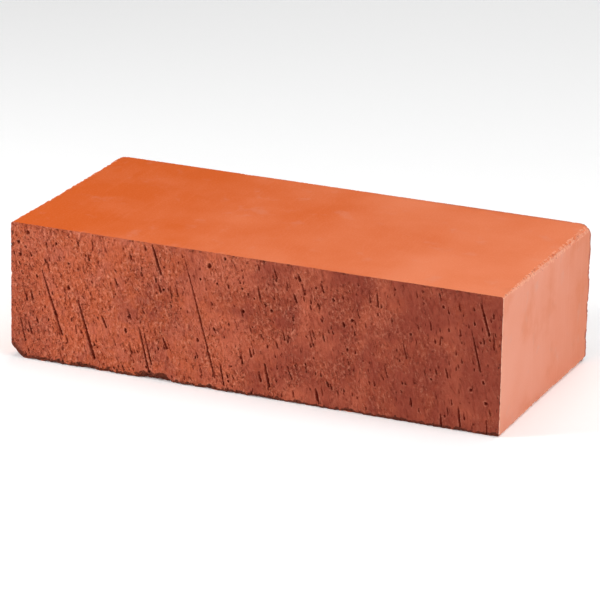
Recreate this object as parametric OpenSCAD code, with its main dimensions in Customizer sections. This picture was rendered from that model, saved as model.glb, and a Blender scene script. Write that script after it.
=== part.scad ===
// Solid clay brick, extruded as a column and cut to width by wire.
// It lies on its bed, with X along its length, Y across its width and Z up.
// The origin is under the middle of the brick, on the surface it lies on.
// The column ran along Y, so the die shaped both beds and both ends and left
// a small radius between them. The wire cut the two large side faces, whose
// edges are sharp where they aren't worn.

/* [Body] */
// Length, from end to end
brick_l = 250; // [200:1:320]
// Width, between the two wire-cut faces
brick_w = 120; // [90:1:160]
// Height, from bed to bed
brick_h = 68; // [50:1:140]

/* [Edges] */
// Radius that the die left between the beds and the ends
die_edge_r = 1.2; // [0.4:0.1:6]

/* [Wear] */
// Reach along X of the wear at the upper back right corner
back_right_wear_x = 5.5; // [1:0.5:12]
// Reach along Y of the wear at the upper back right corner
back_right_wear_y = 6; // [1:0.5:12]
// Reach along Z of the wear at the upper back right corner
back_right_wear_z = 4.5; // [1:0.5:12]
// Reach of the wear at the upper back left corner, along each edge
back_left_wear = 3; // [1:0.5:12]
// Reach along X and Z of the wear at the lower front left corner
front_left_wear = 6.5; // [1:0.5:12]
// Reach along Y of the wear at the lower front left corner
front_left_wear_y = 7; // [1:0.5:12]
// Length of the flake broken from the lower front edge
flake_l = 17; // [5:1:30]
// Height of the flake on the front face
flake_h = 1.3; // [0.5:0.1:4]
// Depth of the flake into the lower bed
flake_d = 3; // [0.5:0.1:8]
// Distance of the flake's middle from the left end
flake_from_left = 75; // [30:1:160]

/* [Hidden] */
clay_red = [0.80, 0.39, 0.25];
curve_fn = 64;

// Section of the clay column, in X and Y of the drawing plane
module column_section() {
    half_l = brick_l / 2;
    translate([die_edge_r - half_l, 0])
        square([brick_l - 2 * die_edge_r, brick_h]);
    translate([-half_l, die_edge_r])
        square([brick_l, brick_h - 2 * die_edge_r]);
    for (side = [-1, 1], level = [die_edge_r, brick_h - die_edge_r])
        translate([side * (half_l - die_edge_r), level])
            circle(r = die_edge_r, $fn = curve_fn);
}

// The column stood up with its section in X and Z, and cut to the width
module cut_column() {
    translate([0, brick_w / 2, 0])
        rotate([90, 0, 0])
            linear_extrude(height = brick_w)
                column_section();
}

// Block over the flat break that crosses the three edges at a corner.
// outward holds the corner's sign on each axis, and reach how far the break
// runs from the corner along each edge.
module corner_break(corner, outward, reach) {
    slope = [outward.x / reach.x, outward.y / reach.y, outward.z / reach.z];
    steepness = norm(slope);
    block = 4 * max(reach);
    translate(corner)
        rotate([0, acos(slope.z / steepness), atan2(slope.y, slope.x)])
            translate([-block / 2, -block / 2, -1 / steepness])
                cube(block);
}

// Block over the flake that is broken from the lower front edge
module edge_flake() {
    middle_x = flake_from_left - brick_l / 2;
    tilt = atan2(flake_h, flake_d);
    block = 2 * (flake_h + flake_d);
    translate([middle_x - flake_l / 2, -brick_w / 2, flake_h])
        rotate([-tilt, 0, 0])
            translate([0, -block / 2, -block])
                cube([flake_l, 2 * block, block]);
}

module brick() {
    right = brick_l / 2;
    back = brick_w / 2;
    color(clay_red)
        difference() {
            cut_column();
            corner_break([right, back, brick_h], [1, 1, 1],
                [back_right_wear_x, back_right_wear_y, back_right_wear_z]);
            corner_break([-right, back, brick_h], [-1, 1, 1],
                [back_left_wear, back_left_wear, back_left_wear]);
            corner_break([-right, -back, 0], [-1, -1, -1],
                [front_left_wear, front_left_wear_y, front_left_wear]);
            edge_flake();
        }
}

brick();
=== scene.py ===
import bpy
import math
import random
import time
from functools import partial
from mathutils import Matrix, Vector


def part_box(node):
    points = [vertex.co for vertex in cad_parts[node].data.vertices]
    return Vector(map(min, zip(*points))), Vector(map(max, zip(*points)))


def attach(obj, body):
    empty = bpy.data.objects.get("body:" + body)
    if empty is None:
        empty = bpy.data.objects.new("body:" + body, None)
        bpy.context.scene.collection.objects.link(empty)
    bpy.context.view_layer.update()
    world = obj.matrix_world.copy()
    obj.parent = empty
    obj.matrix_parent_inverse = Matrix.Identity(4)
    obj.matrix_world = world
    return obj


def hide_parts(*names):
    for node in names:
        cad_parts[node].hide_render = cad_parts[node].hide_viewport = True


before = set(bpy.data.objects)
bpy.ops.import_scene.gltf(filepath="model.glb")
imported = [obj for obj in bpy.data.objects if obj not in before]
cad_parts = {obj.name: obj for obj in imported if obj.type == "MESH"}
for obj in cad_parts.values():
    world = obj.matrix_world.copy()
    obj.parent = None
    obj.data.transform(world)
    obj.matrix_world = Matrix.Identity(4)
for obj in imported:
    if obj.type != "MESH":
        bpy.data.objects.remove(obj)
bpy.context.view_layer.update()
brickLow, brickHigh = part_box("brick")
startTime = time.time()
mm = 0.001

# the brick's own size in mm, from end to end, between the cut sides and from bed to bed
length = (brickHigh.x - brickLow.x) / mm
width = (brickHigh.y - brickLow.y) / mm
height = (brickHigh.z - brickLow.z) / mm


def report(stage):
    print(f"{stage}: {time.time() - startTime:.1f} s")


def deselectAll():
    if bpy.context.object and bpy.context.object.mode != "OBJECT":
        bpy.ops.object.mode_set(mode="OBJECT")
    bpy.ops.object.select_all(action="DESELECT")


def makeActive(thing):
    deselectAll()
    thing.select_set(True)
    bpy.context.view_layer.objects.active = thing


def addNode(tree, kind, sockets=None, **settings):
    node = tree.nodes.new(kind)
    for name, value in settings.items():
        setattr(node, name, value)
    for key, value in (sockets or {}).items():
        if isinstance(value, bpy.types.NodeSocket):
            tree.links.new(value, node.inputs[key])
        else:
            node.inputs[key].default_value = value
    return node


def calc(tree, operation, *values, clamp=False):
    node = addNode(tree, "ShaderNodeMath", dict(enumerate(values)), operation=operation)
    node.use_clamp = clamp
    return node.outputs[0]


def vecCalc(tree, operation, *values):
    sockets = dict(enumerate(values))
    if operation == "SCALE":
        sockets["Scale"] = sockets.pop(1)
    node = addNode(tree, "ShaderNodeVectorMath", sockets, operation=operation)
    single = operation in ("DISTANCE", "DOT_PRODUCT")
    return node.outputs["Value"] if single else node.outputs["Vector"]


def ramp(tree, value, fromLow, fromHigh, toLow=0.0, toHigh=1.0, smooth=True):
    sockets = {"Value": value, "From Min": fromLow, "From Max": fromHigh, "To Min": toLow, "To Max": toHigh}
    kind = "SMOOTHSTEP" if smooth else "LINEAR"
    node = addNode(tree, "ShaderNodeMapRange", sockets, interpolation_type=kind, clamp=True)
    return node.outputs["Result"]


# Noise from 0 to 1, with its largest lumps about this size in mm
def noise(tree, place, size, detail=2.0, roughness=0.5, distortion=0.0):
    node = addNode(tree, "ShaderNodeTexNoise", {"Vector": place, "Scale": 1 / size}, noise_dimensions="3D")
    node.inputs["Detail"].default_value = detail
    node.inputs["Roughness"].default_value = roughness
    node.inputs["Distortion"].default_value = distortion
    return node.outputs[0]


# Noise drawn out along the drag: its sizes are mm across the drag and mm along it
def drawnNoise(tree, along, sizes, detail, roughness, distortion):
    across, run = sizes
    place = vecCalc(tree, "MULTIPLY", along, (1 / across, 1 / across, 1 / run))
    return noise(tree, place, 1.0, detail, roughness, distortion)


# Another stretch of the same noise, so that two patterns don't lie on each other
def elsewhere(tree, place, offset):
    return vecCalc(tree, "ADD", place, offset)


# Position on the cut face in mm, turned so that Z runs along the wire's drag
def dragPlace(tree, place):
    turned = addNode(tree, "ShaderNodeVectorRotate", {"Vector": place}, rotation_type="Y_AXIS")
    turned.inputs["Angle"].default_value = math.radians(relief["drag"])
    return turned.outputs["Vector"]


# The place, then the signs of and the distances in mm to the end, the cut side and the bed
def faceDistances(tree, place):
    split = addNode(tree, "ShaderNodeSeparateXYZ", {0: place}).outputs
    middle = (split[0], split[1], calc(tree, "SUBTRACT", split[2], height / 2))
    signs = [calc(tree, "SIGN", value) for value in middle]
    near = [calc(tree, "SUBTRACT", size / 2, calc(tree, "ABSOLUTE", value))
            for size, value in zip((length, width, height), middle)]
    return list(split), signs, near


wear = {
    "nickSize": 2.2,  # mm across one nick
    "chipSize": 9.0,
    "side": (0.2, 0.55, 1.3),  # mm worn off, bed to cut side: always, nicks, chips
    "end": (0.05, 0.4, 1.1),  # end to cut side
    "die": (1.2, 1.4, 2.1),  # bed to end
    "dieShare": (0.5, 1.15),  # of that at the front, and from the middle back
    "ragged": (1.8, 1.2),  # more on a cut side's lower arris: nicks, chips
    "raggedShare": (1.0, 0.5),  # of that towards the left end and the right end
    "raggedReach": 90,  # mm from the middle, where those shares begin
    "backEnd": (0.9, 1.8),  # more on the back's upright arrises: always, chips
    "flake": (-50, 8.5, 1.9),  # lower front edge: place, half length, size
    "flakeFade": (2.0, -4.0),  # mm past its half length where it starts, and is full
    "cornerNoise": 4.0,
    "cornerUneven": (0.75, 1.15),
}


# How wide each of the three kinds of edge is worn at this place
def wearSizes(tree, place, signs):
    w = wear
    m = partial(calc, tree)
    x, y = addNode(tree, "ShaderNodeSeparateXYZ", {0: place}).outputs[:2]
    fine = noise(tree, place, w["nickSize"], 3.0, 0.6)
    chips = noise(tree, elsewhere(tree, place, (40, 40, 40)), w["chipSize"], 3.0, 0.6)
    nicks = ramp(tree, fine, 0.35, 0.7, smooth=False)
    bites = ramp(tree, chips, 0.6, 0.78)
    sizes = []
    for always, nick, bite in (w["side"], w["end"], w["die"]):
        sizes.append(m("MULTIPLY_ADD", bites, bite, m("MULTIPLY_ADD", nicks, nick, always)))
    # the lower arris of a cut side is ragged, most of all towards the left end
    lower = ramp(tree, signs[2], 1.0, -1.0, smooth=False)
    front = ramp(tree, signs[1], 1.0, -1.0, smooth=False)
    nick, chip = w["ragged"]
    left, right = w["raggedShare"]
    ragged = m("ADD", m("MULTIPLY", ramp(tree, chips, 0.4, 0.7), chip),
               m("MULTIPLY", ramp(tree, fine, 0.3, 0.7, smooth=False), nick))
    ragged = m("MULTIPLY", ragged, ramp(tree, x, w["raggedReach"], -w["raggedReach"], right, left))
    at, reach, size = w["flake"]
    away = m("ABSOLUTE", m("SUBTRACT", x, at))
    starts, full = w["flakeFade"]
    flake = m("MULTIPLY", ramp(tree, away, reach + starts, reach + full), size)
    ragged = m("ADD", ragged, m("MULTIPLY", flake, front))
    sizes[0] = m("ADD", sizes[0], m("MULTIPLY", lower, ragged))
    # the back's upright arrises are rubbed more than the front's
    always, chip = w["backEnd"]
    rubbed = m("MULTIPLY_ADD", ramp(tree, chips, 0.35, 0.7), chip, always)
    sizes[1] = m("ADD", sizes[1], m("MULTIPLY", m("SUBTRACT", 1.0, front), rubbed))
    # the die's edge is crisp at the front
    sizes[2] = m("MULTIPLY", sizes[2], ramp(tree, y, -width / 2, 0, *w["dieShare"]))
    return sizes


# 1 where two faces have worn away between them
def wornBetween(tree, first, second, size):
    beyond = calc(tree, "SUBTRACT", calc(tree, "ADD", first, second), size)
    return ramp(tree, beyond, 0.55, 0.15)


# Worn corners: the signs of the end, side and bed, then mm worn off each edge
wornCorners = [
    ((1, 1, 1), 5.5),
    ((-1, 1, 1), 3.4),
    ((-1, -1, -1), 7.8),
    ((1, -1, -1), 1.4),
    ((1, 1, -1), 2.5),
]


# How much is worn off the nearest corner, 0 at the sharp ones
def cornerWear(tree, place, signs):
    m = partial(calc, tree)
    uneven = noise(tree, elsewhere(tree, place, (15, 15, 15)), wear["cornerNoise"], 3.0, 0.6)
    total = None
    for corner, size in wornCorners:
        same = [m("COMPARE", sign, float(side), 0.5) for sign, side in zip(signs, corner)]
        here = m("MULTIPLY", m("MULTIPLY", same[0], same[1]), m("MULTIPLY", same[2], size))
        total = here if total is None else m("ADD", total, here)
    return m("MULTIPLY", total, ramp(tree, uneven, 0.2, 0.8, *wear["cornerUneven"], smooth=False))


# 1 on the broken face of a worn corner, fading out within this reach in mm
def brokenCorner(tree, place, signs, near, reach):
    size = cornerWear(tree, place, signs)
    total = calc(tree, "ADD", calc(tree, "ADD", near[0], near[1]), near[2])
    worn = ramp(tree, calc(tree, "SUBTRACT", total, size), reach, 0.4)
    return calc(tree, "MULTIPLY", worn, calc(tree, "GREATER_THAN", size, 0.5))


# The grain of the cut sides, which the relief and the colour share
cutGrain = {
    "patch": 11,  # mm across a torn or a smeared patch
    "torn": 0.56,  # how torn the middle is, 0 to 1
    "tornSpread": 0.36,  # more or less, from patch to patch
    "tornRight": -0.5,  # added at the right end, taken off at the left one
    "gap": (0.85, 2.0),  # mm across the drag and along it
    "comb": (0.7, 7.0),
    "crumb": (1.5, 1.9),
    "dent": (1.5, 4.0),
}


# How torn the cut side is: in patches, and more at the left end than at the right
def tornShare(tree, place):
    g = cutGrain
    x = addNode(tree, "ShaderNodeSeparateXYZ", {0: place}).outputs[0]
    patches = noise(tree, elsewhere(tree, place, (31, 0, 77)), g["patch"], 3.0, 0.6, 0.4)
    spread = ramp(tree, patches, 0.38, 0.62, -g["tornSpread"], g["tornSpread"])
    level = calc(tree, "ADD", spread, g["torn"])
    return calc(tree, "MULTIPLY_ADD", x, g["tornRight"] / (length / 2), level, clamp=True)


# Gaps torn out along the drag, 0 to 1
def tearGaps(tree, along):
    return ramp(tree, drawnNoise(tree, along, cutGrain["gap"], 3.0, 0.65, 0.8), 0.54, 0.68)


# Fine parallel lines the wire combed into the clay
def combing(tree, along):
    return drawnNoise(tree, along, cutGrain["comb"], 2.0, 0.55, 0.2)


# Crumbs left standing where the clay tore
def crumbs(tree, along):
    return ramp(tree, drawnNoise(tree, along, cutGrain["crumb"], 2.0, 0.55, 0.3), 0.52, 0.66)


# Shallow dents where the clay was smeared
def dents(tree, along):
    place = elsewhere(tree, along, (17, 5, 9))
    return ramp(tree, drawnNoise(tree, place, cutGrain["dent"], 2.0, 0.5, 0.3), 0.52, 0.68)


cameraSetup = {
    "lens": 258.8,
    "azimuth": 22.96,  # degrees round from the cut side
    "elevation": 18.95,
    "roll": 1.117,
    "distance": 2.065,
    "aim": (-0.5 * mm, 0, 29.2 * mm),
    "clip": (0.05, 30),
}


def makeCamera():
    c = cameraSetup
    azimuth = math.radians(c["azimuth"])
    elevation = math.radians(c["elevation"])
    back = Vector((math.sin(azimuth) * math.cos(elevation),
                   -math.cos(azimuth) * math.cos(elevation),
                   math.sin(elevation)))
    level = Vector((0, 0, 1)).cross(back).normalized()
    upright = back.cross(level)
    roll = math.radians(c["roll"])
    right = level * math.cos(roll) + upright * math.sin(roll)
    up = back.cross(right)
    bpy.ops.object.camera_add(location=Vector(c["aim"]) + back * c["distance"])
    camera = bpy.context.object
    camera.name = "studioCamera"
    camera.rotation_euler = Matrix((right, up, back)).transposed().to_euler()
    camera.data.lens = c["lens"]
    camera.data.clip_start, camera.data.clip_end = c["clip"]
    bpy.context.scene.camera = camera


lights = {
    "frontSoftbox": {"place": (-0.66, -0.5, 0.52), "size": 0.26, "watts": 6.0},
    "sideSoftbox": {"place": (0.95, -0.12, 0.5), "size": 0.6, "watts": 4.2},
    "overhead": {"place": (0.15, 0.0, 1.1), "size": 0.9, "watts": 3.8},
    "overheadRight": {"place": (0.4, -0.1, 0.7), "size": 0.45, "watts": 0.9},
    "backSoftbox": {"place": (0.0, 1.7, 1.2), "size": 1.2, "watts": 9.5},
}

studio = {
    "lightsAim": (0, 0, 0.03),
    "sky": 0.2,
    "floorSize": 12,
    "floorColour": (0.93, 0.93, 0.93, 1),
    "floorRoughness": 0.8,
    "floorGlow": 0.1,
}


def makeLights():
    for name, c in lights.items():
        place = Vector(c["place"])
        bpy.ops.object.light_add(type="AREA", location=place)
        lamp = bpy.context.object
        lamp.name = name
        lamp.data.shape = "SQUARE"
        lamp.data.size = c["size"]
        lamp.data.energy = c["watts"]
        lamp.rotation_euler = (place - Vector(studio["lightsAim"])).to_track_quat("Z", "Y").to_euler()
    world = bpy.data.worlds.new("studio")
    bpy.context.scene.world = world
    world.use_nodes = True
    background = world.node_tree.nodes["Background"]
    background.inputs["Color"].default_value = (1, 1, 1, 1)
    background.inputs["Strength"].default_value = studio["sky"]
    bpy.context.scene.view_settings.view_transform = "Standard"


def makeFloor():
    s = studio
    bpy.ops.mesh.primitive_plane_add(size=s["floorSize"], location=(0, 0, 0))
    floor = bpy.context.object
    floor.name = "floor"
    paint = bpy.data.materials.new("paleFloor")
    paint.use_nodes = True
    shader = paint.node_tree.nodes["Principled BSDF"]
    shader.inputs["Base Color"].default_value = s["floorColour"]
    shader.inputs["Roughness"].default_value = s["floorRoughness"]
    shader.inputs["Emission Color"].default_value = (1, 1, 1, 1)
    shader.inputs["Emission Strength"].default_value = s["floorGlow"]
    floor.data.materials.append(paint)


# Marks that the wire left on the front. Each is mm from the left end, mm down
# from the upper bed, mm long, degrees off upright, half width.
mainMarks = [
    (16.5, 22, 31.5, 19, 0.6), (35.5, 34, 29.5, 17, 0.9), (74, 1, 14.5, 19, 0.8),
    (90.5, 4, 60, 16, 0.5), (67.5, 43, 23, 14, 0.6), (69.5, 42, 19, 14, 0.45),
    (9, 48, 7, 18, 0.5), (4.5, 45, 14, 13, 0.4), (48, 40, 6, 24, 0.6),
    (80, 46, 5.5, 22, 0.7), (77, 19, 5, 22, 0.55), (86, 18, 6.5, 15, 0.4),
    (146.5, 14, 4.5, 20, 0.6), (148.5, 4, 3.5, 20, 0.6), (124.5, 44, 4.5, 14, 0.6),
    (120, 48, 4.5, 14, 0.6), (132.5, 51, 11, 12, 0.75), (129.5, 55, 5, 13, 0.6),
    (109.5, 54, 11, 12, 0.5), (158.5, 59, 7, 13, 0.8), (239, 5, 15, 18, 0.65),
    (235, 18, 20, 14, 0.5), (201, 27, 10, 14, 0.35), (188, 6, 8, 5, 0.5),
    (229.5, 57, 9, 8, 0.6), (221, 61, 6, 6, 0.55), (243.5, 59, 8, 3, 0.5),
    (224, 57, 4, 9, 0.4), (164, 54, 3, 18, 0.6), (62, 50, 7, 16, 0.4),
    (62, 6, 4, 20, 0.45), (34.5, 3.5, 4, 20, 0.4), (54.5, 20.5, 4, 28, 0.5),
    (10.5, 33, 4.5, 15, 0.55), (7.5, 34, 4.5, 15, 0.5), (83.5, 20, 5.5, 10, 0.4),
]

# Pits where the wire pulled a grain out: mm from the left end, mm down, radius
mainPits = [
    (30.5, 28.5, 1.2), (9, 4, 1.0), (4, 9.5, 0.9), (5, 15.5, 0.9), (103.5, 6.5, 1.1),
    (8, 11.5, 0.6), (80, 22, 0.7), (62, 38.5, 0.7), (24, 7.5, 0.7), (30.5, 16.5, 0.6),
    (71.5, 62, 0.7), (111.5, 2, 0.7), (121, 26.5, 0.9), (135.5, 24, 0.7), (99, 14, 0.6),
    (107.5, 15, 0.6), (120.5, 15.5, 0.6), (166.5, 14, 0.7), (106, 37, 0.5), (176, 22.5, 0.8),
    (216, 45, 0.6), (221, 9, 0.7), (235.5, 47, 0.7), (243, 52.5, 0.8), (27, 52, 0.8),
]

marks = {
    "seed": 11,
    "lean": 15,  # degrees off upright
    "scattered": 520,  # short marks on each cut side
    "shortest": 0.8,  # mm long
    "meanExtra": 1.3,
    "halfWidths": (0.18, 0.5),
    "leanLeft": 2,  # degrees more at the left end
    "leanFall": 7,  # less from there to the right end
    "leanSpread": 5,
    "longEvery": 14,  # every so many marks on the back is a long one
    "longExtra": (6, 24),
    "longest": 30,
    "pits": 45,
    "pitRadii": (0.2, 0.16, 0.8),  # smallest, mean extra, largest
    "pointStep": 4,  # mm
    "wander": 0.12,  # of its half width
    "uneven": (0.85, 1.1),
}


def addStroke(curve, side, fromLeft, down, markLength, lean, halfWidth, chance):
    lean = math.radians(lean)
    steps = max(3, int(markLength / marks["pointStep"]) + 2)
    spline = curve.splines.new("POLY")
    spline.points.add(steps - 1)
    for i, point in enumerate(spline.points):
        t = i / (steps - 1)
        wander = chance.uniform(-marks["wander"], marks["wander"]) * halfWidth
        x = fromLeft + math.sin(lean) * markLength * t + wander - length / 2
        z = height - down - math.cos(lean) * markLength * t
        point.co = (x * mm, side * width / 2 * mm, z * mm, 1)
        # a stroke starts thin and is full from half way down
        swell = 0.5 + 0.5 * min(1, t / 0.5) if markLength > 2 * halfWidth else 1
        point.radius = halfWidth * swell * chance.uniform(*marks["uneven"])


def makeMarks():
    c = marks
    curve = bpy.data.curves.new("wireMarks", "CURVE")
    curve.dimensions = "3D"
    chance = random.Random(c["seed"])
    for mark in mainMarks:
        addStroke(curve, -1, *mark, chance)
    for fromLeft, down, radius in mainPits:
        addStroke(curve, -1, fromLeft, down, 0.5 * radius, c["lean"], radius, chance)
    smallest, extra, largest = c["pitRadii"]
    for side in (-1, 1):
        for i in range(c["scattered"]):
            markLength = c["shortest"] + chance.expovariate(1 / c["meanExtra"])
            if side > 0 and i % c["longEvery"] == 0:
                markLength += chance.uniform(*c["longExtra"])
            fromLeft = chance.uniform(1, length - 2)
            lean = c["lean"] - c["leanFall"] * fromLeft / length
            lean += chance.gauss(c["leanLeft"], c["leanSpread"])
            addStroke(curve, side, fromLeft, chance.uniform(0, height - 2),
                      min(markLength, c["longest"]), lean, chance.uniform(*c["halfWidths"]), chance)
        for i in range(c["pits"]):
            radius = smallest + chance.expovariate(1 / extra)
            addStroke(curve, side, chance.uniform(1, length - 1), chance.uniform(1, height - 1),
                      1.6 * radius, c["lean"], min(radius, largest), chance)
    thing = bpy.data.objects.new("wireMarks", curve)
    bpy.context.scene.collection.objects.link(thing)
    return thing


block = {
    "dieRadius": 1.2,
    "dieRadiusFront": 0.5,  # at the front it has worn sharp
    "lengthCuts": (7, 79),
    "heightCuts": (1, 84),
    "rows": (0.4, 0.8, 1.2, 1.7, 2.3, 3.0, 4.0, 5.5, 7.5),  # mm in from a cut side
    "rowStep": 2.0,
    "triangles": 190000,
    "smoothAngle": 38,
}


def selectEdgesAlong(axis):
    bpy.ops.object.mode_set(mode="OBJECT")
    mesh = bpy.context.object.data
    for edge in mesh.edges:
        a, b = (mesh.vertices[i].co for i in edge.vertices)
        run = b - a
        edge.select = abs(run[axis]) > 0.99 * run.length
    for face in mesh.polygons:
        face.select = False
    bpy.ops.object.mode_set(mode="EDIT")
    bpy.context.tool_settings.mesh_select_mode = (False, True, False)


def divideAlong(axis, cuts):
    for count in cuts:
        bpy.ops.mesh.select_mode(type="EDGE")
        selectEdgesAlong(axis)
        bpy.ops.mesh.subdivide(number_cuts=count)


def makeBlock():
    b = block
    deselectAll()
    bpy.ops.mesh.primitive_cube_add(size=1, location=(brickLow + brickHigh) / 2)
    brick = bpy.context.object
    brick.name = "firedBrick"
    brick.data.name = "firedBrick"
    brick.scale = brickHigh - brickLow
    bpy.ops.object.transform_apply(location=True, rotation=True, scale=True)
    # one material for the beds, one for the ends and one for the cut sides
    for paint in (bedSkin, endSkin, cutClay):
        brick.data.materials.append(paint)
    for face in brick.data.polygons:
        normal = face.normal
        face.material_index = 0 if abs(normal.z) > 0.5 else 1 if abs(normal.x) > 0.5 else 2
    bpy.ops.object.mode_set(mode="EDIT")
    rows = list(b["rows"])
    while rows[-1] + b["rowStep"] < width / 2:
        rows.append(rows[-1] + b["rowStep"])
    for row in rows:
        for side in (-1, 1):
            bpy.ops.mesh.select_all(action="SELECT")
            bpy.ops.mesh.bisect(plane_co=(0, side * (width / 2 - row) * mm, 0), plane_no=(0, 1, 0))
    divideAlong(2, b["heightCuts"])
    divideAlong(0, b["lengthCuts"])
    bpy.ops.object.mode_set(mode="OBJECT")
    print("block faces:", len(brick.data.polygons))
    return brick


relief = {
    "drag": 15,  # degrees off upright
    "skinDepth": 0.35,  # mm that the cut sides lie inside their plane
    "leastDepth": 0.06,
    "wave": 0.3,
    "waveSize": 45,
    "torn": 0.6,
    "grain": 0.19,
    "grainSize": 1.3,
    "comb": 0.3,
    "crumbs": 0.2,
    "dents": 0.32,
    "markDepth": 1.7,  # times a mark's half width
    "markDeepest": 1.1,
    "markUneven": (0.45, 1.35),
    "markBlend": 0.2,
    "lip": 0.16,
    "dotStep": 0.3,
    "ripple": 0.22,  # beds and ends
    "rippleSize": 35,
    "rippleBlend": 0.1,
    "cornerBlend": 3.0,
}


# Distances in from the end, side and bed once the die's radius and the wear are off
def wornShape(tree, place, y, signs, near):
    m = partial(calc, tree)
    radius = ramp(tree, y, -width / 2, -width / 6, block["dieRadiusFront"], block["dieRadius"])
    overX = m("MAXIMUM", m("SUBTRACT", radius, near[0]), 0.0)
    overZ = m("MAXIMUM", m("SUBTRACT", radius, near[2]), 0.0)
    reach = m("SQRT", m("ADD", m("MULTIPLY", overX, overX), m("MULTIPLY", overZ, overZ)))
    pull = m("SUBTRACT", 1.0, m("DIVIDE", radius, m("MAXIMUM", reach, radius)))
    insideX = m("ADD", near[0], m("MULTIPLY", overX, pull))
    insideY = near[1]
    insideZ = m("ADD", near[2], m("MULTIPLY", overZ, pull))

    # wear along the edges, as a chamfer whose size wanders
    def cutBack(a, b, size):
        half = m("MULTIPLY", m("MAXIMUM", m("SUBTRACT", size, m("ADD", a, b)), 0.0), 0.5)
        return m("ADD", a, half), m("ADD", b, half)

    sideEdge, endEdge, dieEdge = wearSizes(tree, place, signs)
    insideY, insideZ = cutBack(insideY, insideZ, sideEdge)
    insideX, insideY = cutBack(insideX, insideY, endEdge)
    insideX, insideZ = cutBack(insideX, insideZ, dieEdge)

    # worn corners, each a blunt flat through the three edges
    total = m("ADD", m("ADD", insideX, insideY), insideZ)
    size = cornerWear(tree, place, signs)
    over = m("SMOOTH_MAX", m("SUBTRACT", size, total), 0.0, relief["cornerBlend"])
    over = m("MAXIMUM", m("SUBTRACT", over, 0.01), 0.0)
    third = m("MULTIPLY", m("MULTIPLY", over, m("GREATER_THAN", size, 0.5)), 1 / 3)
    return [m("ADD", inside, third) for inside in (insideX, insideY, insideZ)]


# How far the torn and smeared clay lies inside the cut plane
def clayDepth(tree, onPlane):
    r = relief
    m = partial(calc, tree)
    along = dragPlace(tree, onPlane)
    torn = tornShare(tree, onPlane)
    wave = m("MULTIPLY", m("SUBTRACT", noise(tree, onPlane, r["waveSize"], 1.0), 0.5), 2 * r["wave"])
    gaps = m("MULTIPLY", m("MULTIPLY", tearGaps(tree, along), r["torn"]), torn)
    fine = noise(tree, onPlane, r["grainSize"], 2.0, 0.6)
    grain = m("MULTIPLY", m("MULTIPLY", m("SUBTRACT", fine, 0.5), 2 * r["grain"]), torn)
    grain = m("ADD", grain, m("MULTIPLY", m("SUBTRACT", combing(tree, along), 0.5), r["comb"]))
    standing = m("MULTIPLY", m("MULTIPLY", crumbs(tree, along), r["crumbs"]), torn)
    grain = m("SUBTRACT", grain, standing)
    smeared = m("SUBTRACT", 1.15, torn)
    grain = m("ADD", grain, m("MULTIPLY", m("MULTIPLY", dents(tree, along), r["dents"]), smeared))
    return m("ADD", m("ADD", r["skinDepth"], wave), m("ADD", gaps, grain))


# The nearest mark: how far off it is, as a share of its half width, and that half width
def nearestMark(tree, marksThing, onPlane):
    m = partial(calc, tree)
    marksInfo = addNode(tree, "GeometryNodeObjectInfo", {"Object": marksThing}, transform_space="ORIGINAL")
    dots = addNode(tree, "GeometryNodeCurveToPoints", {"Curve": marksInfo.outputs["Geometry"]}, mode="LENGTH")
    dots.inputs["Length"].default_value = relief["dotStep"] * mm
    points = dots.outputs["Points"]
    sampleAt = vecCalc(tree, "SCALE", onPlane, mm)
    nearest = addNode(tree, "GeometryNodeSampleNearest",
                      {"Geometry": points, "Sample Position": sampleAt}, domain="POINT")

    def atNearest(kind, field):
        node = addNode(tree, "GeometryNodeSampleIndex", data_type=kind, domain="POINT")
        tree.links.new(points, node.inputs["Geometry"])
        tree.links.new(field, node.inputs["Value"])
        tree.links.new(nearest.outputs["Index"], node.inputs["Index"])
        return node.outputs["Value"]

    dotPlace = atNearest("FLOAT_VECTOR", addNode(tree, "GeometryNodeInputPosition").outputs[0])
    dotRadius = atNearest("FLOAT", addNode(tree, "GeometryNodeInputRadius").outputs[0])
    away = m("MULTIPLY", vecCalc(tree, "DISTANCE", dotPlace, sampleAt), 1 / mm)
    uneven = ramp(tree, noise(tree, onPlane, 1.0, 3.0, 0.7), 0.3, 0.7, *relief["markUneven"], smooth=False)
    return m("DIVIDE", away, m("MULTIPLY", dotRadius, uneven)), dotRadius


def storeOnPoints(tree, geometry, name, field):
    node = addNode(tree, "GeometryNodeStoreNamedAttribute", data_type="FLOAT", domain="POINT")
    tree.links.new(geometry, node.inputs["Geometry"])
    node.inputs["Name"].default_value = name
    tree.links.new(field, node.inputs["Value"])
    return node.outputs["Geometry"]


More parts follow.
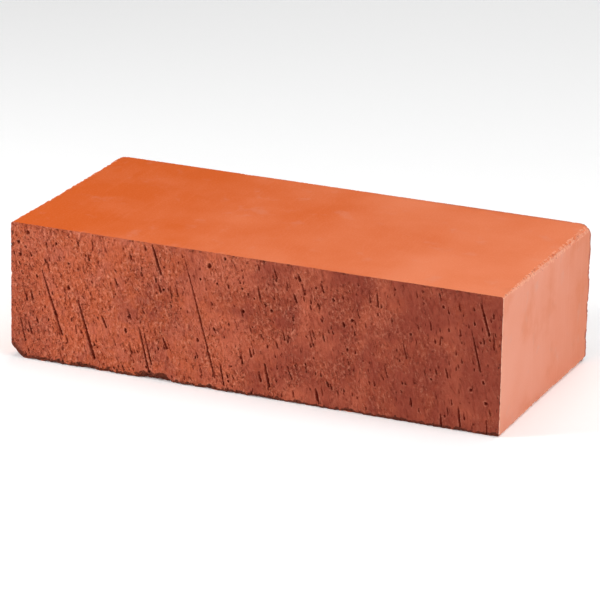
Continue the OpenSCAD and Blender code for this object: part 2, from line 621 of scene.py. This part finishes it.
def makeRelief(marksThing):
    r = relief
    tree = bpy.data.node_groups.new("brickRelief", "GeometryNodeTree")
    tree.interface.new_socket("Geometry", in_out="INPUT", socket_type="NodeSocketGeometry")
    tree.interface.new_socket("Geometry", in_out="OUTPUT", socket_type="NodeSocketGeometry")
    entry = tree.nodes.new("NodeGroupInput")
    leave = tree.nodes.new("NodeGroupOutput")
    m = partial(calc, tree)

    place = addNode(tree, "GeometryNodeInputPosition").outputs[0]
    inMm = vecCalc(tree, "SCALE", place, 1 / mm)
    (x, y, z), signs, near = faceDistances(tree, inMm)
    insideX, insideY, insideZ = wornShape(tree, inMm, y, signs, near)

    # the cut sides: torn clay, then the wire's marks with a lip round each
    planeY = m("MULTIPLY", signs[1], width / 2)
    onPlane = addNode(tree, "ShaderNodeCombineXYZ", {0: x, 1: planeY, 2: z}).outputs[0]
    share, dotRadius = nearestMark(tree, marksThing, onPlane)
    hollow = ramp(tree, share, 1.05, 0.35)
    lipShape = m("MULTIPLY", ramp(tree, share, 0.95, 1.25), ramp(tree, share, 2.1, 1.3))
    markDeep = m("MINIMUM", m("MULTIPLY", dotRadius, r["markDepth"]), r["markDeepest"])
    depth = m("ADD", clayDepth(tree, onPlane), m("MULTIPLY", hollow, markDeep))
    depth = m("MAXIMUM", m("SUBTRACT", depth, m("MULTIPLY", lipShape, r["lip"])), 0.0)
    insideY = m("MAXIMUM", m("SMOOTH_MAX", insideY, depth, r["markBlend"]), r["leastDepth"])

    # beds and ends: hardly more than a hint of unevenness
    ripple = m("MULTIPLY", noise(tree, inMm, r["rippleSize"], 2.0), r["ripple"])
    insideX = m("SMOOTH_MAX", insideX, ripple, r["rippleBlend"])
    insideZ = m("SMOOTH_MAX", insideZ, ripple, r["rippleBlend"])

    newX = m("MULTIPLY", signs[0], m("SUBTRACT", length / 2, insideX))
    newY = m("MULTIPLY", signs[1], m("SUBTRACT", width / 2, insideY))
    newZ = m("ADD", m("MULTIPLY", signs[2], m("SUBTRACT", height / 2, insideZ)), height / 2)
    moved = addNode(tree, "ShaderNodeCombineXYZ", {0: newX, 1: newY, 2: newZ}).outputs[0]

    # the cut clay's material paints shade into the hollows and a highlight on their rims
    shade = m("MULTIPLY", ramp(tree, share, 1.25, 0.5), ramp(tree, dotRadius, 0.12, 0.5, 0.3, 1.0))
    rimHighlight = m("MULTIPLY", lipShape, ramp(tree, dotRadius, 0.2, 0.6))
    geometry = storeOnPoints(tree, entry.outputs[0], "hollow", shade)
    geometry = storeOnPoints(tree, geometry, "rimHighlight", rimHighlight)
    setPlace = addNode(tree, "GeometryNodeSetPosition",
                       {"Geometry": geometry, "Position": vecCalc(tree, "SCALE", moved, mm)})
    tree.links.new(setPlace.outputs["Geometry"], leave.inputs[0])
    return tree


def applyModifier(thing, name):
    makeActive(thing)
    bpy.ops.object.modifier_apply(modifier=name)


def carveBrick(brick):
    marksThing = makeMarks()
    carve = brick.modifiers.new("relief", "NODES")
    carve.node_group = makeRelief(marksThing)
    applyModifier(brick, "relief")
    bpy.data.objects.remove(marksThing)
    report("relief")
    triangles = sum(len(f.vertices) - 2 for f in brick.data.polygons)
    print("triangles before thinning:", triangles)
    thin = brick.modifiers.new("thin", "DECIMATE")
    thin.ratio = block["triangles"] / triangles
    thin.use_collapse_triangulate = True
    applyModifier(brick, "thin")
    print("triangles:", len(brick.data.polygons))
    report("thinned")


layout = {
    "used": 0.97,  # share of the picture's width that a cut side takes
    "skinScale": 0.5,  # of the cut sides' scale, for the beds and ends
    "gap": 0.012,
}


# Lays the six sides out flat: the cut sides large, the beds and ends smaller
def unwrapBrick(brick):
    mesh = brick.data
    layer = mesh.uv_layers.new(name="OFBake")
    big = layout["used"] / length  # share of the picture for 1 mm
    small = big * layout["skinScale"]
    gap = layout["gap"]
    half = Vector((length / 2, width / 2, height / 2))
    bedsUp = gap + 2 * (height * big + gap)
    endsUp = bedsUp + gap + width * small
    for face in mesh.polygons:
        centre = face.center / mm - Vector((0, 0, half.z))
        for i in face.loop_indices:
            point = mesh.vertices[mesh.loops[i].vertex_index].co / mm
            x, y, z = point.x + half.x, point.y + half.y, point.z
            if face.material_index == 2:
                row = 0 if centre.y < 0 else 1
                across = x if centre.y < 0 else length - x
                uv = (gap + across * big, gap + row * (height * big + gap) + z * big)
            elif face.material_index == 0:
                column = 0 if centre.z > 0 else 1
                upwards = y if centre.z > 0 else width - y
                uv = (gap + column * (length * small + gap) + x * small, bedsUp + upwards * small)
            else:
                column = 0 if centre.x > 0 else 1
                across = y if centre.x > 0 else width - y
                uv = (gap + column * (width * small + gap) + across * small, endsUp + z * small)
            layer.data[i].uv = uv


def startMaterial(name, look):
    paint = bpy.data.materials.new(name)
    paint.use_nodes = True
    tree = paint.node_tree
    shader = tree.nodes["Principled BSDF"]
    shader.inputs["Roughness"].default_value = look["roughness"]
    shader.inputs["Specular IOR Level"].default_value = look["specular"]
    where = addNode(tree, "ShaderNodeTexCoord").outputs["Object"]
    inMm = addNode(tree, "ShaderNodeMapping", {"Vector": where, "Scale": (1 / mm, 1 / mm, 1 / mm)})
    return paint, tree, shader, inMm.outputs["Vector"]


def mix(tree, share, a, b):
    node = addNode(tree, "ShaderNodeMix", data_type="RGBA")
    for key, value in (("Factor", share), ("A", a), ("B", b)):
        socket = [s for s in node.inputs if s.name == key and s.enabled][0]
        if isinstance(value, bpy.types.NodeSocket):
            tree.links.new(value, socket)
        else:
            socket.default_value = value
    return [s for s in node.outputs if s.enabled][0]


def mixValue(tree, share, a, b):
    node = addNode(tree, "ShaderNodeMix", {0: share, 2: a, 3: b}, data_type="FLOAT")
    return node.outputs[0]


def attribute(tree, name):
    return addNode(tree, "ShaderNodeAttribute", attribute_name=name).outputs["Fac"]


def bump(tree, heightValue, distance, strength=1.0, under=None):
    node = addNode(tree, "ShaderNodeBump", {"Height": heightValue})
    node.inputs["Distance"].default_value = distance * mm
    node.inputs["Strength"].default_value = strength
    if under is not None:
        tree.links.new(under, node.inputs["Normal"])
    return node.outputs["Normal"]


cutClayLook = {
    "pink": (0.535, 0.129, 0.069, 1),
    "purple": (0.295, 0.058, 0.034, 1),
    "orange": (0.55, 0.115, 0.043, 1),
    "dark": (0.18, 0.010, 0.004, 1),
    # near-black painted shade for the lower arrises, the nicks and broken corners
    "paintedShade": (0.07, 0.018, 0.011, 1),
    # the pale and dark colours are partly the grain's own tone, partly painted highlight on raised grain and
    # rims and painted shade in low grain and marks
    "pale": (0.92, 0.35, 0.215, 1),
    "roughness": 0.95,
    "specular": 0.1,
    "bump": 0.6,  # mm
    "patchSize": 30,  # mm across a pink or a purple patch
    "purpleRight": 0.13,  # more purple at the right end, less at the left one
    "warmSize": 11,
    "warmFrom": (-75, 40),  # mm from the middle, with the orange share at each
    "warm": (0.72, 0.16),
    "fineSize": 0.65,
    "middleSize": (1.3, 1.9),  # mm across the drag and along it
    "nickSize": 2.6,
    "fine": 0.76,  # how much each kind of grain lightens or darkens the clay, partly its own tone and partly painted highlight and shade
    "middle": 1.8,
    "gaps": -0.45,
    "comb": 0.35,
    "crumbs": 0.2,
    "dents": (0.24, -0.15),  # in smeared clay, and more in torn clay
    # painted highlight on the marks' rims and painted shade in their hollows
    "rimHighlightShare": 0.27,
    "hollowShade": 0.8,
    "lowerArris": 0.78,
    "nicks": 0.75,
    "broken": 0.75,
    "lowerWidth": 0.35,  # mm past the worn edge
    "endWidth": 1.6,
    "upperWidth": 1.0,
    "upperNicks": 0.75,  # of the nicks down the end arris
    "brokenReach": 3.5,
    "leftDarkeningFrom": (-92, -124),  # mm from the middle
    "leftDarkeningHeights": (55, 5),  # mm up, with the share at each
    "leftDarkening": (0.15, 0.45),
}


# Smeared clay is pink or purple, torn clay more orange
def clayColour(tree, inMm, x, torn):
    c = cutClayLook
    m = partial(calc, tree)
    patches = noise(tree, inMm, c["patchSize"], 3.0, 0.6, 0.5)
    right = m("MULTIPLY_ADD", x, c["purpleRight"] / (length / 2), m("MULTIPLY_ADD", patches, 0.7, 0.15))
    colour = mix(tree, ramp(tree, right, 0.36, 0.64), c["pink"], c["purple"])
    warm = noise(tree, elsewhere(tree, inMm, (70, 20, 35)), c["warmSize"], 4.0, 0.65, 0.4)
    warm = m("MULTIPLY_ADD", torn, 0.16, warm)
    warm = m("MULTIPLY", ramp(tree, warm, 0.50, 0.74), ramp(tree, x, *c["warmFrom"], *c["warm"]))
    return mix(tree, warm, colour, c["orange"])


# Light and dark from grain to grain, above and below 0: the bump's height, and in the colour partly the
# grain's own tone, partly painted highlight and painted shade
def clayTone(tree, inMm, along, torn):
    c = cutClayLook
    m = partial(calc, tree)
    fine = m("SUBTRACT", noise(tree, inMm, c["fineSize"], 3.0, 0.65), 0.5)
    middle = m("SUBTRACT", drawnNoise(tree, along, c["middleSize"], 3.0, 0.6, 0.4), 0.5)
    tone = m("MULTIPLY_ADD", fine, c["fine"], m("MULTIPLY", middle, c["middle"]))
    tone = m("MULTIPLY_ADD", tearGaps(tree, along), c["gaps"], tone)
    tone = m("MULTIPLY", tone, m("MULTIPLY_ADD", torn, 0.75, 0.25))
    tone = m("MULTIPLY_ADD", m("SUBTRACT", combing(tree, along), 0.5), c["comb"], tone)
    tone = m("ADD", tone, m("MULTIPLY", crumbs(tree, along), m("MULTIPLY", torn, c["crumbs"])))
    inSmeared, moreInTorn = c["dents"]
    pressed = m("MULTIPLY", dents(tree, along), m("MULTIPLY_ADD", torn, moreInTorn, inSmeared))
    return m("SUBTRACT", tone, pressed)


# Painted shade on the lower arris, in the nicks and on broken corners, and a darker left end
def clayShadeAndDarkerEnd(tree, inMm, colour):
    c = cutClayLook
    m = partial(calc, tree)
    split, signs, near = faceDistances(tree, inMm)
    sideEdge, endEdge = wearSizes(tree, inMm, signs)[:2]
    # painted contact shade, near-black, along the lower arris
    lower = m("MULTIPLY", wornBetween(tree, near[1], near[2], m("ADD", sideEdge, c["lowerWidth"])),
              ramp(tree, signs[2], 0.0, -1.0, 0.0, c["lowerArris"]))
    colour = mix(tree, lower, colour, c["paintedShade"])
    # painted shade in the nicks down the end arris and along the upper one
    spots = noise(tree, elsewhere(tree, inMm, (5, 9, 2)), c["nickSize"], 4.0, 0.65)
    endArris = wornBetween(tree, near[0], near[1], m("ADD", endEdge, c["endWidth"]))
    upper = wornBetween(tree, near[1], near[2], m("ADD", sideEdge, c["upperWidth"]))
    upper = m("MULTIPLY", upper, ramp(tree, signs[2], 0.0, 1.0, 0.0, c["upperNicks"]))
    nicks = m("MULTIPLY", m("MAXIMUM", endArris, upper), ramp(tree, spots, 0.55, 0.62))
    colour = mix(tree, m("MULTIPLY", nicks, c["nicks"]), colour, c["paintedShade"])
    # the left end is darker, most of all low down
    leftDarkening = m("MULTIPLY", ramp(tree, split[0], *c["leftDarkeningFrom"]),
              ramp(tree, split[2], *c["leftDarkeningHeights"], *c["leftDarkening"]))
    colour = mix(tree, leftDarkening, colour, c["purple"])
    # painted shade on the broken corners
    broken = brokenCorner(tree, inMm, signs, near, c["brokenReach"])
    return mix(tree, m("MULTIPLY", broken, c["broken"]), colour, c["paintedShade"])


def makeCutClay():
    c = cutClayLook
    paint, tree, shader, inMm = startMaterial("cutClay", c)
    m = partial(calc, tree)
    x = addNode(tree, "ShaderNodeSeparateXYZ", {0: inMm}).outputs[0]
    torn = tornShare(tree, inMm)
    tone = clayTone(tree, inMm, dragPlace(tree, inMm), torn)
    colour = clayColour(tree, inMm, x, torn)
    # raised grain paler and low grain darker: partly the grain's own tone, partly painted highlight and
    # painted shade
    paleShare = m("MULTIPLY", ramp(tree, tone, 0.0, 0.85, smooth=False), m("MULTIPLY_ADD", torn, 0.7, 0.3))
    colour = mix(tree, paleShare, colour, c["pale"])
    colour = mix(tree, ramp(tree, tone, 0.0, -1.15, smooth=False), colour, c["dark"])
    # painted shade at the bottom of the marks, with a painted highlight on the rim
    colour = mix(tree, m("MULTIPLY", attribute(tree, "rimHighlight"), c["rimHighlightShare"]), colour, c["pale"])
    colour = mix(tree, m("MULTIPLY", attribute(tree, "hollow"), c["hollowShade"]), colour, c["dark"])
    colour = clayShadeAndDarkerEnd(tree, inMm, colour)
    tree.links.new(colour, shader.inputs["Base Color"])
    tree.links.new(bump(tree, tone, c["bump"]), shader.inputs["Normal"])
    return paint


skinLook = {
    "raw": (0.27, 0.055, 0.030, 1),  # clay laid bare on the worn edges
    # near-black painted shade under the lower arrises
    "paintedShade": (0.07, 0.018, 0.011, 1),
    "dusty": (0.84, 0.40, 0.26, 1),
    "ash": (0.60, 0.32, 0.255, 1),
    "edgeDustAndHighlight": (0.92, 0.52, 0.38, 1),
    "roughness": 0.72,
    "specular": 0.11,
    "hazeSize": 42,  # mm across
    "patchSize": 24,
    "ashSize": 13,
    "streakSize": (1.6, 40.0),  # mm across a streak and along it
    "dustSize": 0.8,
    "dust": 0.10,
    "dustBump": 0.05,  # mm
    "streakBump": 0.10,
    "streakBumpShare": 0.6,
    "rubSize": 1.6,
    "nickSize": 1.9,
    "bareSize": 1.1,
    "dieDust": (0.05, 0.6),  # always, and where rubbed
    "dieNicks": 0.7,
    "frontWidth": 0.5,  # mm past the worn edge
    "backLine": 0.9,
    "bedBackFrom": (-20, 70),  # mm from the middle, with the share at each
    "bedBack": (0.0, 0.5),
    "brokenReach": 1.6,
    "edgeDustAndHighlightShare": 0.8,
    "bare": 0.88,
    "lowerShadeShare": 0.75,
}

bedLook = {
    "colour": (0.59, 0.092, 0.006, 1),
    "pale": (0.71, 0.188, 0.078, 1),
    "patch": (0.70, 0.20, 0.095, 1),
    "streakAxis": 1,  # the way the column was pushed out
    "streaks": 0.12,
    "drift": (0.42, -0.04, 0),  # how much paler at the right end, the back and the top; at the right end partly kiln haze, partly painted sheen
}

# the ends are paler and pinker than the beds: partly their own colour, partly painted sheen
endLook = {
    "colour": (0.68, 0.225, 0.125, 1),
    "pale": (0.74, 0.31, 0.215, 1),
    "patch": (0.62, 0.165, 0.06, 1),
    "streakAxis": 2,
    "streaks": 0.36,
    "drift": (0, -0.28, 0.12),
}


# Smooth clay with a haze, partly painted sheen, patches, ashy spots and streaks; then its dust and its
# streaks alone
def skinColour(tree, inMm, look):
    c = skinLook
    share = look["streaks"]
    hazeAndSheen = noise(tree, inMm, c["hazeSize"], 3.0, 0.45, 0.1)
    # paler towards one side of the skin: at the bed's right end partly painted sheen
    fromMiddle = vecCalc(tree, "SUBTRACT", inMm, (0, 0, height / 2))
    drift = tuple(value / (size / 2) for value, size in zip(look["drift"], (length, width, height)))
    hazeAndSheen = calc(tree, "ADD", hazeAndSheen, vecCalc(tree, "DOT_PRODUCT", fromMiddle, drift))
    colour = mix(tree, ramp(tree, hazeAndSheen, 0.18, 0.92, smooth=False), look["colour"], look["pale"])
    patches = noise(tree, elsewhere(tree, inMm, (63, 12, 38)), c["patchSize"], 4.0, 0.55, 0.2)
    colour = mix(tree, ramp(tree, patches, 0.48, 0.66, 0.0, share), colour, look["patch"])
    ash = noise(tree, elsewhere(tree, inMm, (8, 91, 26)), c["ashSize"], 3.0, 0.55, 0.2)
    colour = mix(tree, ramp(tree, ash, 0.58, 0.74, 0.0, share), colour, c["ash"])
    across, run = c["streakSize"]
    sizes = [across, across, across]
    sizes[look["streakAxis"]] = run
    lines = noise(tree, vecCalc(tree, "DIVIDE", inMm, tuple(sizes)), 1.0, 2.0, 0.5)
    colour = mix(tree, ramp(tree, lines, 0.5, 0.8, 0.0, share), colour, look["pale"])
    dust = noise(tree, inMm, c["dustSize"], 2.0, 0.6)
    colour = mix(tree, ramp(tree, dust, 0.4, 0.8, 0.0, c["dust"]), colour, c["dusty"])
    return colour, dust, lines


# The skins' worn edges: dusty at the die's edge, a pale line of dust and painted highlight at the front, bare
# clay elsewhere, a dark line of bare clay and painted shade at the back, and painted shade under the lower
# arrises
def skinWearAndShade(tree, inMm, colour):
    c = skinLook
    m = partial(calc, tree)
    split, signs, near = faceDistances(tree, inMm)
    sideEdge, endEdge, dieEdge = wearSizes(tree, inMm, signs)
    rubbed = ramp(tree, noise(tree, inMm, c["rubSize"], 3.0, 0.6), 0.35, 0.65)
    die = wornBetween(tree, near[0], near[2], dieEdge)
    always, more = c["dieDust"]
    colour = mix(tree, m("MULTIPLY", die, m("MULTIPLY_ADD", rubbed, more, always)), colour, c["dusty"])
    spots = noise(tree, elsewhere(tree, inMm, (5, 9, 2)), c["nickSize"], 3.0, 0.6)
    nicks = ramp(tree, spots, 0.58, 0.68)
    colour = mix(tree, m("MULTIPLY", die, m("MULTIPLY", nicks, c["dieNicks"])), colour, c["raw"])
    # the end's front arris is a thin pale line, dust and painted highlight, with nicks; its back arris and
    # the bed's back edge are a dark line, partly rubbed bare clay and partly painted shade
    back = ramp(tree, signs[1], 0.0, 1.0)
    edge = wornBetween(tree, near[0], near[1], m("ADD", endEdge, c["frontWidth"]))
    frontEdgeDustAndHighlight = m("MULTIPLY", edge, m("SUBTRACT", 1.0, back))
    colour = mix(tree, m("MULTIPLY", frontEdgeDustAndHighlight, c["edgeDustAndHighlightShare"]), colour, c["edgeDustAndHighlight"])
    # the dark line along the back arrises: partly rubbed bare clay, partly painted shade
    onEnd = ramp(tree, m("SUBTRACT", near[0], near[2]), 0.3, -0.3)
    past = m("SUBTRACT", near[1], mixValue(tree, onEnd, sideEdge, endEdge))
    reach = mixValue(tree, onEnd, ramp(tree, split[0], *c["bedBackFrom"], *c["bedBack"]), c["backLine"])
    line = m("MULTIPLY", ramp(tree, past, 2.2, 0.7), reach)
    backBareAndShade = m("MULTIPLY", back, m("MAXIMUM", line, edge))
    dark = m("MAXIMUM", m("MULTIPLY", frontEdgeDustAndHighlight, nicks), backBareAndShade)
    # bare clay on the cut sides' arrises, in broken corners and in the lower arris's deep chips
    lower = ramp(tree, signs[2], 0.0, -1.0)
    side = wornBetween(tree, near[1], near[2], sideEdge)
    broken = brokenCorner(tree, inMm, signs, near, c["brokenReach"])
    chip = m("MULTIPLY", ramp(tree, m("MINIMUM", near[0], near[2]), 0.3, 0.5),
             m("MULTIPLY", ramp(tree, near[1], 9, 6), lower))
    low = m("MAXIMUM", m("MAXIMUM", side, broken), chip)
    grain = ramp(tree, noise(tree, inMm, c["bareSize"], 3.0, 0.6), 0.35, 0.7)
    bare = mix(tree, grain, c["raw"], cutClayLook["pink"])
    colour = mix(tree, m("MULTIPLY", m("MAXIMUM", low, dark), c["bare"]), colour, bare)
    # painted contact shade, near-black, under the lower arrises
    return mix(tree, m("MULTIPLY", low, m("MULTIPLY", lower, c["lowerShadeShare"])), colour, c["paintedShade"])


def makeSkin(name, look):
    paint, tree, shader, inMm = startMaterial(name, skinLook)
    colour, dust, lines = skinColour(tree, inMm, look)
    tree.links.new(skinWearAndShade(tree, inMm, colour), shader.inputs["Base Color"])
    skin = bump(tree, dust, skinLook["dustBump"])
    skin = bump(tree, lines, skinLook["streakBump"], skinLook["streakBumpShare"], skin)
    tree.links.new(skin, shader.inputs["Normal"])
    return paint


makeCamera()
makeLights()
makeFloor()
report("studio")

bedSkin = makeSkin("bedSkin", bedLook)
endSkin = makeSkin("endSkin", endLook)
cutClay = makeCutClay()
report("materials")

brick = makeBlock()
report("block")
carveBrick(brick)
unwrapBrick(brick)
makeActive(brick)
bpy.ops.object.shade_smooth_by_angle(angle=math.radians(block["smoothAngle"]))
report("unwrapped")

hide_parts("brick")
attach(brick, "root")

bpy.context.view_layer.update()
report("done")
